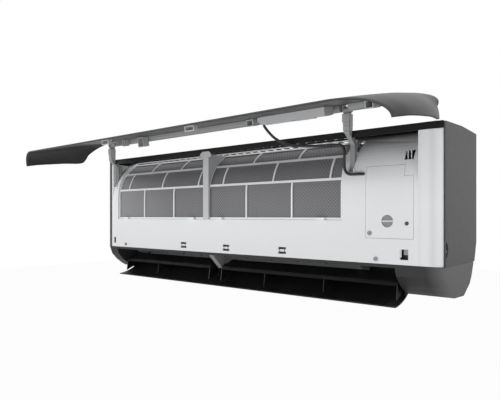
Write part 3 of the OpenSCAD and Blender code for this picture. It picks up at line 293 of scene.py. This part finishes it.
for name, place, aim, size, power in (
        ("front_box", (-1.6, -2.0, 0.5), (-0.1, 0, 0), (1.6, 1.4), 19),
        ("right_box", (2.4, -0.9, 0.5), (0.3, 0, 0), (1.0, 1.6), 9),
        ("low_box", (0.2, -1.7, -0.5), (0.2, 0, 0.1), (1.6, 0.4), 8),
        ("top_box", (0.2, -0.9, 2.0), (0, 0, 0), (2.4, 1.2), 20)):
    lamp = bpy.data.lights.new(name, "AREA")
    lamp.shape = "RECTANGLE"
    lamp.size, lamp.size_y = size
    lamp.energy = power
    light = bpy.data.objects.new(name, lamp)
    light.location = place
    light.rotation_euler = (Vector(aim) - Vector(place)).to_track_quat("-Z", "Y").to_euler()
    bpy.context.scene.collection.objects.link(light)

# Front casing and service cover: matt white ABS, moulded in one skin of 3 mm. The right end
# column rolls back in a shallow curve and ends in a lip just in front of the side panel; a band
# of painted shade runs down it, painted shade darkens the crease at its inner edge, and the
# apron is painted a little darker than the upper part as shade.
front_y = front_mm / 1000


def piece_from(name, drawn, body, finish, smooth=False):
    """Turns a drawn mesh into a piece that rides on a body and wears a finish."""
    bmesh.ops.recalc_face_normals(drawn, faces=drawn.faces)
    mesh = bpy.data.meshes.new(name)
    drawn.to_mesh(mesh)
    drawn.free()
    for face in mesh.polygons:
        face.use_smooth = smooth
    mesh.materials.append(finish.material)
    piece = bpy.data.objects.new(name, mesh)
    bpy.context.scene.collection.objects.link(piece)
    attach(piece, body)
    return piece


def moved_copy(node, name, finish, move):
    """A copy of a CAD node with its points moved, which then stands for the node."""
    drawn = bmesh.new()
    drawn.from_mesh(nodes[node].data)
    drawn.transform(nodes[node].matrix_world)
    bmesh.ops.remove_doubles(drawn, verts=drawn.verts, dist=1e-6)
    for vert in drawn.verts:
        move(vert.co)
    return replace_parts(piece_from(name, drawn, "root", finish), node)


def cuboid(drawn, low, high):
    """Adds a block given by two corners in millimetres (across, behind the front plane, up)."""
    a, b = metre_points([low, high])
    made = bmesh.ops.create_cube(drawn, size=1)["verts"]
    bmesh.ops.scale(drawn, verts=made, vec=b - a)
    bmesh.ops.translate(drawn, verts=made, vec=(a + b) / 2)
    return made


def softened(drawn, width, segments=2):
    """Rounds every edge of the drawn mesh."""
    bmesh.ops.bevel(drawn, geom=drawn.edges[:], offset=width, affect="EDGES", segments=segments,
                    profile=0.5, material=-1)


column_start, column_stretch, column_roll = 0.439, 1.5, 0.24


def roll_column(point):
    if point.x > column_start:
        point.x = column_start + (point.x - column_start) * column_stretch
        point.y = front_y + (point.y - front_y) * column_roll


white = moulded("white_abs", (0.76, 0.77, 0.78), 0.38, mottle=0.012)
across_white = white.axis("X")
band_middle, crease_x = 0.4515, 0.4285
# Painted shade: a darker band down the curved column, a darker line in the crease where the column begins,
# and a darkening of the front towards the bottom.
painted_column_shade = white.ramp(white.math_of("ABSOLUTE", across_white - band_middle), 0.0095, 0.001)
painted_crease_shade = white.ramp(across_white, 0.4265, crease_x) * white.ramp(across_white, 0.434, crease_x)
painted_apron_shade = white.ramp(white.axis("Z"), 0.02, -0.075)
white.set("Base Color", white.shade(1.0 - 0.11 * painted_column_shade - 0.05 * painted_crease_shade - 0.10 * painted_apron_shade))
moved_copy("front_casing", "casing_skin", white, roll_column)
white.wear("service_cover")

# Latch window: the two upright bars of the snap hook behind the square hole of the casing,
# moulded in the same white ABS.
drawn = bmesh.new()
bar_t = 1.4
for x in (402.2, 408.4):
    cuboid(drawn, (x, 15, 98.6), (x + bar_t, 18, 115.4))
softened(drawn, 0.0003)
piece_from("latch_bars", drawn, "root", white)

# Pocket of the lower latch and the slots of the panel's catches: the hooks of the lower casing
# that show in the white skin's openings, drawn as near-black sheets of painted shade; each catch
# with two upright slits drawn as thin dark bars of painted shade; and the grey ledge that the
# lower latch snaps under.
# Painted shade: the near-black sheets and bars stand for the shade inside the openings and slits.
painted_pocket_shade = moulded("painted_pocket_shade_abs", (0.012, 0.012, 0.013), 0.5)
drawn = bmesh.new()
cuboid(drawn, (392, 12, -80), (412, 13, -56))
catch_half, slit_half, slit_t = (9, 8), 7, 1.6
for x, z in ((-160, -71), (-18, -72), (140, -71)):
    cuboid(drawn, (x - catch_half[0], 4, z - catch_half[1]), (x + catch_half[0], 5, z + catch_half[1]))
    for edge in (x - slit_half, x + slit_half - slit_t):
        cuboid(drawn, (edge, -0.12, z - slit_half), (edge + slit_t, 0.4, z + slit_half))
piece_from("catch_pockets", drawn, "root", painted_pocket_shade)
ledge_grey = moulded("ledge_abs", (0.30, 0.305, 0.31), 0.45)
drawn = bmesh.new()
cuboid(drawn, (399, 6, -68), (410, 9, -58.5))
softened(drawn, 0.0005)
piece_from("latch_ledge", drawn, "root", ledge_grey)

# Top cover: satin black ABS with the intake slots, the end of its strip over the column and
# the black seal that fills the seam between the casing's lip and the right side panel.
black = moulded("black_abs", (0.006, 0.006, 0.007), 0.4, grain=0.00001, specular=0.25)
black.wear("top_cover")
drawn = bmesh.new()
cuboid(drawn, (459.2, 0.2, 145.8), (468.8, 8.6, 157.8))
softened(drawn, 0.0006)
piece_from("strip_end", drawn, "root", black)
drawn = bmesh.new()
cuboid(drawn, (469.0, 2.5, -86), (470.0, 11, 157))
softened(drawn, 0.0003)
piece_from("corner_seal", drawn, "root", black)

# Side panels: dark grey textured ABS skins, held by hooks; the right one has a finger notch
# in its front edge, which stands back from the casing's lip.
side_grey = moulded("side_grey_abs", (0.070, 0.070, 0.073), 0.5, grain=0.00002, specular=0.4)


seam_step, moved_to, kept_from = 0.0103, 12, 40


def set_back(point):
    deep = (point.y - front_y) * 1000
    point.y += seam_step * max(0, min(1, (kept_from - deep) / (kept_from - moved_to)))


moved_copy("right_side_panel", "side_skin_right", side_grey, set_back)
side_grey.wear("left_side_panel")

# Lower casing and knock-out: dark grey ABS, moulded round the outlet in one piece and hooked
# under the white skin. Its front is nearly black, and painted light makes it lighter round the right
# corner.
lower_grey = moulded("lower_grey_abs", (0.024, 0.024, 0.026), 0.45, grain=0.00002, specular=0.35)
# Painted light: the colour goes from near black to grey across the right corner's rounding.
painted_corner_light = lower_grey.ramp(lower_grey.axis("X"), 0.438, 0.472)
lower_grey.set("Base Color", lower_grey.mix(painted_corner_light, (0.020, 0.020, 0.021, 1),
                                            (0.110, 0.110, 0.113, 1)))
lower_grey.wear("lower_casing", "knockout_cover")

# Light mouldings inside: divider, deodoriser holders, receiver box and clips of pale grey ABS
# straight from the tool.
light_grey = moulded("light_abs", (0.50, 0.51, 0.52), 0.45)
light_grey.wear("middle_divider", "receiver_box", "panel_clips", "deodoriser_left", "deodoriser_right")

# Lock knob: a grey quarter-turn disc of ABS with a paler grip bar across it, snapped into the
# service cover so that it turns.
knob_grey = moulded("knob_abs", (0.24, 0.245, 0.25), 0.4)
knob_z = -0.009
grip = knob_grey.ramp(knob_grey.math_of("ABSOLUTE", knob_grey.axis("Z") - knob_z), 0.0016, 0.0012)
knob_grey.set("Base Color", knob_grey.mix(grip, (0.22, 0.225, 0.23, 1), (0.62, 0.63, 0.64, 1)))
knob_grey.wear("lock_knob")

# Receiver box lid and tabs: a stepped cover clipped over the board of the remote's receiver,
# with a low plate beyond it, on the panel's inner side.
pivot_proud, pivot_z, opening = 0.008, 0.196, 78
pivot = Vector((0, front_y - pivot_proud, pivot_z))
panel_turn = Matrix.Rotation(math.radians(-opening), 4, "X")


def panel_open(point):
    """A place on the closed panel, from its pivot in millimetres, as a point of the open panel."""
    return pivot + panel_turn @ (Vector(point) / 1000)


def panel_block(drawn, low, high):
    a, b = Vector(low), Vector(high)
    made = bmesh.ops.create_cube(drawn, size=1)["verts"]
    for vert in made:
        vert.co = panel_open([(a[i] + b[i]) / 2 + vert.co[i] * (b[i] - a[i]) for i in range(3)])
    return made


drawn = bmesh.new()
panel_block(drawn, (128, -9.9, -58), (140, 0, -40))
panel_block(drawn, (150, 4.6, -60), (210, 6.6, -38))
panel_block(drawn, (214, 4.6, -54), (256, 7.4, -42))
panel_block(drawn, (262, 4.6, -60), (284, 6, -38))
tab_w = 6
for x in (146, 176, 206, 236, 266):
    panel_block(drawn, (x, -9.9, -38), (x + tab_w, 3, -31))
softened(drawn, 0.0005)
piece_from("receiver_lid", drawn, "panel", light_grey)

# Filter frames, drain pan and drain hose: white polypropylene. The frames slide in under the
# top cover and snap at their feet; the pan hangs in the chassis.
filter_white = moulded("filter_pp", (0.84, 0.85, 0.86), 0.42)
filter_white.wear("filter_left", "filter_right", "drain_pan", "drain_hose")

# Arms, rail and flap bracket: mid grey acetal, which slides dry on ABS. The rail is screwed
# to the panel's inner side and carries the heads of the arms.
arm_grey = moulded("arm_pom", (0.30, 0.305, 0.31), 0.4)
arm_grey.wear("arm_left", "arm_right", "panel_rail", "flap_bracket")

# Collars and face plates of the arms: a pale cap over the front of each arm's upper part,
# with stepped collars where it meets the slide.
pale_arm = moulded("arm_cap_abs", (0.42, 0.425, 0.43), 0.4)
cap_blocks = (((-8, -15.2, 173), (7, -0.5, 188.5)), ((-6.5, -14.6, 166.5), (7, -0.5, 172.5)),
              ((-6.5, -14.2, 157), (6.5, -0.6, 166)), ((-5.4, -13.8, 153), (5.4, -0.6, 156.5)),
              ((7, -12, 160), (8, -3, 187)))
for name, x in (("arm_cap_right", 297), ("arm_cap_left", -448)):
    drawn = bmesh.new()
    for low, high in cap_blocks:
        cuboid(drawn, (x + low[0], *low[1:]), (x + high[0], *high[1:]))
    softened(drawn, 0.0004)
    piece_from(name, drawn, "arms", pale_arm)

# Chassis and electrical box: recycled grey polystyrene, moulded with the fan's scroll and
# unseen when the unit hangs. The box stands in it at the right end.
chassis_grey = moulded("chassis_ps", (0.26, 0.265, 0.27), 0.5, mottle=0.06)
chassis_grey.wear("rear_chassis", "electrical_box")

# Flap, trays, vanes and tie bars: black ABS with a satin surface, in the stream of the outlet.
# They snap on moulded pins and turn on them.
flap_black = moulded("flap_abs", (0.0055, 0.0055, 0.006), 0.42, grain=0.000004, specular=0.3)
flap_black.wear("lower_flap", "flap_tray_left", "flap_tray_right", "tie_bar_left", "tie_bar_right",
                *[n for n in nodes if n.startswith(("vane_left", "vane_right"))])

# Small dark mouldings: push button, terminal block and the fan's rubber bearing, and the fan
# itself, welded from rows of glass-filled blades and discs.
button_grey = moulded("button_pbt", (0.03, 0.03, 0.032), 0.35)
button_grey.wear("power_button", "terminal_block", "fan_bearing")
fan_grey = moulded("fan_as", (0.03, 0.032, 0.035), 0.4)
fan_grey.wear("fan_rotor")

# Filter nets: woven polypropylene thread, welded behind the frames. The weave runs across
# the frame, and its threads stand a little above the gaps between them.
net = Finish("filter_net", (0.165, 0.165, 0.172), 0.62)
warp = net.add("ShaderNodeTexWave", {"wave_type": "BANDS", "bands_direction": "DIAGONAL"},
               {"Vector": net.place((1, 0, 1)), "Scale": 85.0, "Distortion": 0.0})
weft = net.add("ShaderNodeTexWave", {"wave_type": "BANDS", "bands_direction": "DIAGONAL"},
               {"Vector": net.place((-1, 0, 1)), "Scale": 85.0, "Distortion": 0.0})
threads = net.math_of("MAXIMUM", warp, weft)
# Painted light: besides the threads and a faint cloudiness, the net is made lighter towards the left end of
# the left filter.
net.set("Base Color", net.shade(0.5 + 0.55 * threads + 0.14 * net.noise(14.0, 3.0)
                                + 0.5 * net.ramp(net.axis("X"), -0.2, -0.43)))
net.set("Roughness", 0.7 - 0.15 * threads)
net.set("Normal", net.bump(threads, 0.0002, 0.6))
net.wear("filter_mesh_left", "filter_mesh_right")

# Sheet steel: zinc-plated wall plate, end plates and motor cans, with the cloudy crystal
# pattern of hot-dip zinc and fine rolling lines. The casing's screws are darker zinc.
steel = Finish("zinc_steel", (0.55, 0.56, 0.57), 0.35, metallic=1.0)
spangle = steel.add("ShaderNodeTexVoronoi", {}, {"Vector": steel.place(), "Scale": 90.0}, "Color")
spangle_tone = steel.axis("X", spangle)
rolling = steel.noise(400.0, 2.0, steel.place((0.02, 1, 1)))
steel.set("Base Color", steel.shade(0.86 + 0.16 * spangle_tone + 0.06 * rolling))
steel.set("Roughness", 0.26 + 0.16 * spangle_tone + 0.08 * rolling)
steel.set("Normal", steel.bump(rolling, 0.00002, 0.4, steel.soft_edges(0.0003)))
steel.wear("wall_plate", "coil_end_plates", "fan_motor", "flap_motor", "vane_motors")
screw_zinc = Finish("screw_zinc", (0.20, 0.205, 0.21), 0.3, metallic=0.9)
screw_zinc.set("Roughness", 0.22 + 0.3 * screw_zinc.noise(500.0, 2.0))
screw_zinc.set("Normal", screw_zinc.soft_edges(0.0005))
screw_zinc.wear("casing_screws")

# Coil fins: stacked aluminium sheet, pressed on the tubes at a pitch of 1.3 mm, each edge bright
# and the gap between them painted dark as shade.
fins = Finish("fin_aluminium", (0.62, 0.64, 0.66), 0.4, metallic=1.0)
fin_edge_and_gap_shade = fins.add("ShaderNodeTexWave", {"wave_type": "BANDS", "bands_direction": "X"},
                    {"Vector": fins.place(), "Scale": 240.0, "Distortion": 0.0})
# Painted shade: the bands darken the gaps between the fins; the same bands also set the fins' roughness and
# bump.
fins.set("Base Color", fins.shade(0.25 + 0.75 * fin_edge_and_gap_shade + 0.1 * fins.noise(30.0, 3.0)))
fins.set("Roughness", 0.5 - 0.15 * fin_edge_and_gap_shade)
fins.set("Normal", fins.bump(fin_edge_and_gap_shade, 0.0006, 0.8))
fins.wear("coil_front_lower", "coil_front_upper", "coil_rear")

# Copper tube: the coil's return bends and the pipes to the outdoor unit, drawn bright and
# dulled in patches by flux and handling.
copper = Finish("copper_tube", (0.62, 0.30, 0.17), 0.3, metallic=1.0)
tarnish = copper.ramp(copper.noise(70.0, 4.0), 0.45, 0.65)
copper.set("Base Color", copper.mix(tarnish, (0.62, 0.30, 0.17, 1), (0.30, 0.13, 0.07, 1)))
copper.set("Roughness", 0.24 + 0.22 * tarnish)
copper.wear("coil_tubes", "refrigerant_pipes")

# Circuit board: glass-filled epoxy under a green solder mask, over copper tracks that show as
# a slightly raised maze. It stands in the electrical box.
board = Finish("board_green", (0.012, 0.10, 0.035), 0.4)
tracks = board.add("ShaderNodeTexVoronoi", {"distance": "MANHATTAN"},
                   {"Vector": board.place(), "Scale": 320.0})
track = board.ramp(tracks, 0.35, 0.4)
board.set("Base Color", board.shade(0.7 + 0.6 * track))
board.set("Roughness", 0.42 - 0.1 * track)
board.set("Normal", board.bump(track, 0.00005, 0.5))
board.wear("circuit_board")

# Front panel: a thin shell of satin dark grey ABS, bowed back at both ends into wings and
# with rounded upper corners, lifted and turned up in the photograph. Its left wing is tighter,
# because it has to clear the left arm. Lengths are in millimetres, from the closed panel's
# pivot, in rows at these shares of its height.
down_shares = (0, 0.06, 0.15, 0.3, 0.6, 0.85, 1)
wing_ends = (464, 480, 481, 490, 498, 497, 488)
wing_starts = (365, 385, 406, 418, 427, 414, 392)
wing_depths = (19, 26, 31, 48, 42, 37, 36)
left_start, left_least_end, right_least_end = 457, 484, 464
panel_rows, wing_steps = 41, 24
panel_front, panel_top, panel_height, panel_skin = 13, 12, 246, 3
corner_drop, corner_share, corner_power = 60, 0.5, 1.5


def between(share, values):
    """A value worked out between the rows whose shares are given, with a smooth course."""
    last = len(down_shares) - 1
    k = max(i for i in range(last) if down_shares[i] <= share)
    span = down_shares[k + 1] - down_shares[k]
    t = (share - down_shares[k]) / span
    slopes = []
    for j in (k, k + 1):
        after, before = min(j + 1, last), max(j - 1, 0)
        slopes.append((values[after] - values[before]) / (down_shares[after] - down_shares[before]))
    return ((2 * t ** 3 - 3 * t ** 2 + 1) * values[k] + (t ** 3 - 2 * t ** 2 + t) * span * slopes[0]
            + (3 * t ** 2 - 2 * t ** 3) * values[k + 1] + (t ** 3 - t ** 2) * span * slopes[1])


def shell_point(side, turn, share, skin):
    """A point of the shell: the side, the turn round its wing, the share down and the depth in."""
    start = between(share, wing_starts) if side > 0 else left_start
    run = max(between(share, wing_ends), right_least_end if side > 0 else left_least_end) - start - skin
    deep = between(share, wing_depths) - skin
    fall = 1 - math.cos(turn)
    corner = corner_drop * fall * max(0, 1 - share / corner_share) ** corner_power
    across = side * (start + run * math.sin(turn))
    return panel_open((across, skin - panel_front + deep * fall, panel_top - panel_height * share - corner))


drawn = bmesh.new()
turns = [(-1, math.pi / 2 * i / wing_steps) for i in range(wing_steps, -1, -1)]
turns += [(1, math.pi / 2 * i / wing_steps) for i in range(wing_steps + 1)]
sheets = []
for skin in (0, panel_skin):
    rows = [[shell_point(side, turn, row / (panel_rows - 1), skin) for side, turn in turns]
            for row in range(panel_rows)]
    sheets.append([[drawn.verts.new(place) for place in row] for row in rows])
for sheet in sheets:
    for row, after in zip(sheet, sheet[1:]):
        for i in range(len(turns) - 1):
            drawn.faces.new((row[i], row[i + 1], after[i + 1], after[i]))
outer, inner = sheets
for i in range(len(turns) - 1):
    for row in (0, -1):
        drawn.faces.new((outer[row][i], outer[row][i + 1], inner[row][i + 1], inner[row][i]))
for row in range(panel_rows - 1):
    for i in (0, -1):
        drawn.faces.new((outer[row][i], outer[row + 1][i], inner[row + 1][i], inner[row][i]))
panel_grey = moulded("panel_abs", (0.038, 0.038, 0.040), 0.42, grain=0.000006, mottle=0.015, specular=0.35)
panel_shell = piece_from("panel_shell", drawn, "panel", panel_grey, smooth=True)
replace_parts(panel_shell, "front_panel")

bpy.context.scene.view_settings.view_transform = "Standard"
